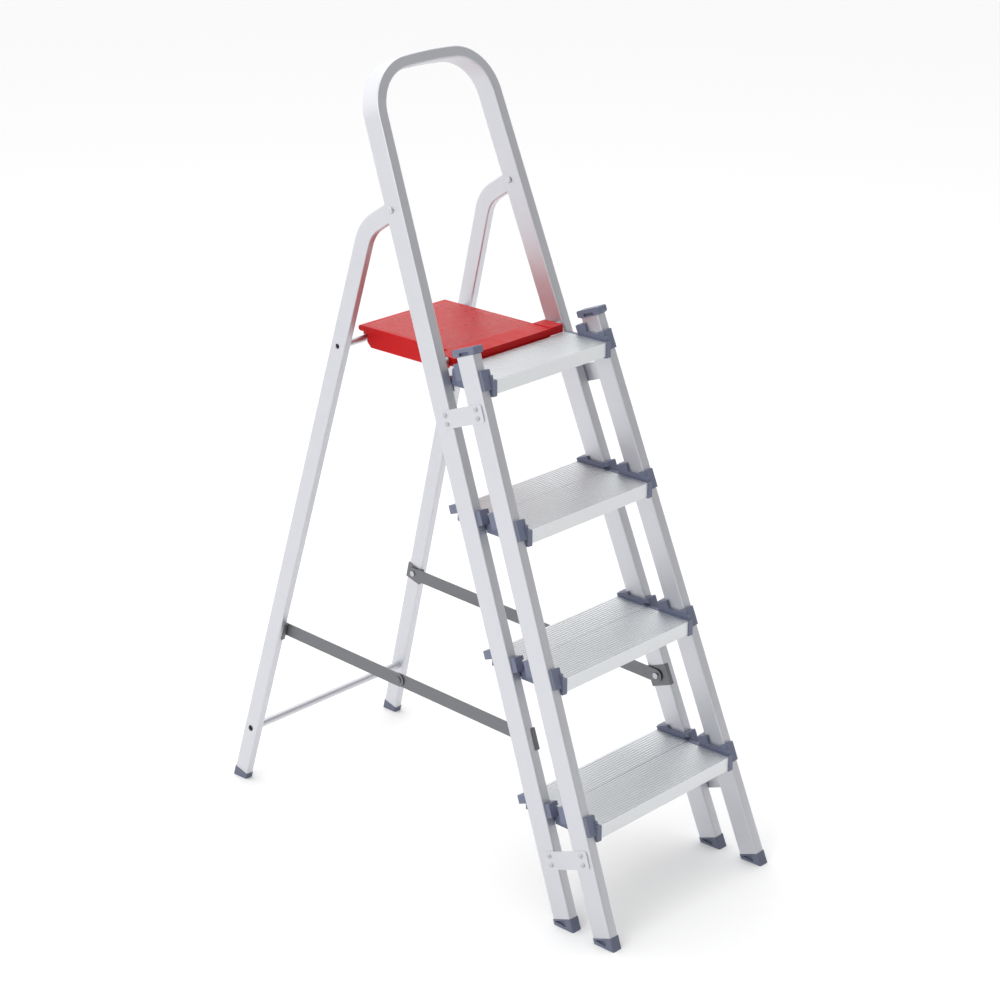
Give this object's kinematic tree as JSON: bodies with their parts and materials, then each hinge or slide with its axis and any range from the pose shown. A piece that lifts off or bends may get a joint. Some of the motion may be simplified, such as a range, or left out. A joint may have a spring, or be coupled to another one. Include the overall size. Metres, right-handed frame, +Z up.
{
  "type": "platform step ladder",
  "caption": "Free-standing platform step ladder with double treads, a hooped front frame, a lift-up platform, a folding rear frame and hinged stays.",
  "frame": {"origin": "on the floor, under the middle of the ladder's width and depth as it stands open", "axes": "+Z up, -Y towards the climbing side, +X to the right of a person climbing"},
  "size_m": [0.4156, 0.942, 1.3772],
  "materials": {
    "aluminium_tube": "extruded satin tube",
    "aluminium_tread": "extruded ribbed tread",
    "aluminium_sheet": "pressed sheet",
    "grey_plastic": "moulded blue-grey plastic",
    "foot_rubber": "moulded grey rubbery plastic",
    "red_plastic": "moulded red plastic",
    "zinc_steel": "zinc plated sheet steel",
    "rivet_steel": "bright steel rivet"
  },
  "bodies": {
    "climbing_frame": {"main_rail_left": "aluminium_tube", "main_rail_right": "aluminium_tube", "hoop_bend": "aluminium_tube", "front_stile_left": "aluminium_tube", "front_stile_right": "aluminium_tube", "stile_cap_left": "grey_plastic", "stile_cap_right": "grey_plastic", "foot_rail_left": "foot_rubber", "foot_rail_right": "foot_rubber", "foot_stile_left": "foot_rubber", "foot_stile_right": "foot_rubber", "rear_tread_1": "aluminium_tread", "rear_tread_2": "aluminium_tread", "rear_tread_3": "aluminium_tread", "front_tread_1": "aluminium_tread", "front_tread_2": "aluminium_tread", "front_tread_3": "aluminium_tread", "front_tread_4": "aluminium_tread", "rear_cap_left_1": "grey_plastic", "rear_cap_left_2": "grey_plastic", "rear_cap_left_3": "grey_plastic", "rear_cap_right_1": "grey_plastic", "rear_cap_right_2": "grey_plastic", "rear_cap_right_3": "grey_plastic", "front_cap_left_1": "grey_plastic", "front_cap_left_2": "grey_plastic", "front_cap_left_3": "grey_plastic", "front_cap_left_4": "grey_plastic", "front_cap_right_1": "grey_plastic", "front_cap_right_2": "grey_plastic", "front_cap_right_3": "grey_plastic", "front_cap_right_4": "grey_plastic", "top_crossbar": "aluminium_tube", "crossbar_caps": "grey_plastic", "upper_plates": "aluminium_sheet", "lower_plates": "aluminium_sheet", "plate_rivets": "rivet_steel", "leg_pivot_left": "rivet_steel", "leg_pivot_right": "rivet_steel", "hinge_pin_left": "rivet_steel", "hinge_pin_right": "rivet_steel", "front_bracket_left": "zinc_steel", "front_bracket_right": "zinc_steel", "stay_rivets_front": "rivet_steel"},
    "rear_frame": {"rear_leg_left": "aluminium_tube", "rear_leg_right": "aluminium_tube", "leg_neck_left": "aluminium_tube", "leg_neck_right": "aluminium_tube", "foot_leg_left": "foot_rubber", "foot_leg_right": "foot_rubber", "bottom_cross_tube": "aluminium_tube", "platform_rod": "aluminium_tube", "rear_bracket_left": "zinc_steel", "rear_bracket_right": "zinc_steel", "stay_rivets_rear": "rivet_steel"},
    "platform": {"platform": "red_plastic"},
    "stay_front_left": {"stay_front_left": "zinc_steel"},
    "stay_front_right": {"stay_front_right": "zinc_steel"},
    "stay_rear_left": {"stay_rear_left": "zinc_steel"},
    "stay_rear_right": {"stay_rear_right": "zinc_steel"}
  },
  "joints": [
    {"name": "rear_fold", "type": "hinge", "parent": "climbing_frame", "child": "rear_frame", "pos_m": [0, 0.07907, 1.14344], "axis": [-1, 0, 0], "range_deg": [0, 29]},
    {"name": "platform_lift", "type": "hinge", "parent": "climbing_frame", "child": "platform", "pos_m": [0, -0.02804, 0.905], "axis": [1, 0, 0], "range_deg": [0, 69.35]},
    {"name": "stay_front_left_swing", "type": "hinge", "parent": "climbing_frame", "child": "stay_front_left", "pos_m": [-0.1675, -0.2411, 0.30092], "axis": [-1, 0, 0], "range_deg": [0, 79.98]},
    {"name": "stay_front_right_swing", "type": "hinge", "parent": "climbing_frame", "child": "stay_front_right", "pos_m": [0.1675, -0.2411, 0.30092], "axis": [-1, 0, 0], "range_deg": [0, 79.98]},
    {"name": "stay_rear_left_swing", "type": "hinge", "parent": "rear_frame", "child": "stay_rear_left", "pos_m": [-0.1698, 0.36249, 0.3227], "axis": [1, 0, 0], "range_deg": [0, 96.3]},
    {"name": "stay_rear_right_swing", "type": "hinge", "parent": "rear_frame", "child": "stay_rear_right", "pos_m": [0.1698, 0.36249, 0.3227], "axis": [1, 0, 0], "range_deg": [0, 96.3]}
  ],
  "couplings": [
    {"joint": "platform_lift", "follows": "rear_fold", "ratio": 2.3897},
    {"joint": "stay_front_left_swing", "follows": "rear_fold", "ratio": 2.7563},
    {"joint": "stay_front_right_swing", "follows": "rear_fold", "ratio": 2.7563},
    {"joint": "stay_rear_left_swing", "follows": "rear_fold", "ratio": 3.3189},
    {"joint": "stay_rear_right_swing", "follows": "rear_fold", "ratio": 3.3189}
  ]
}
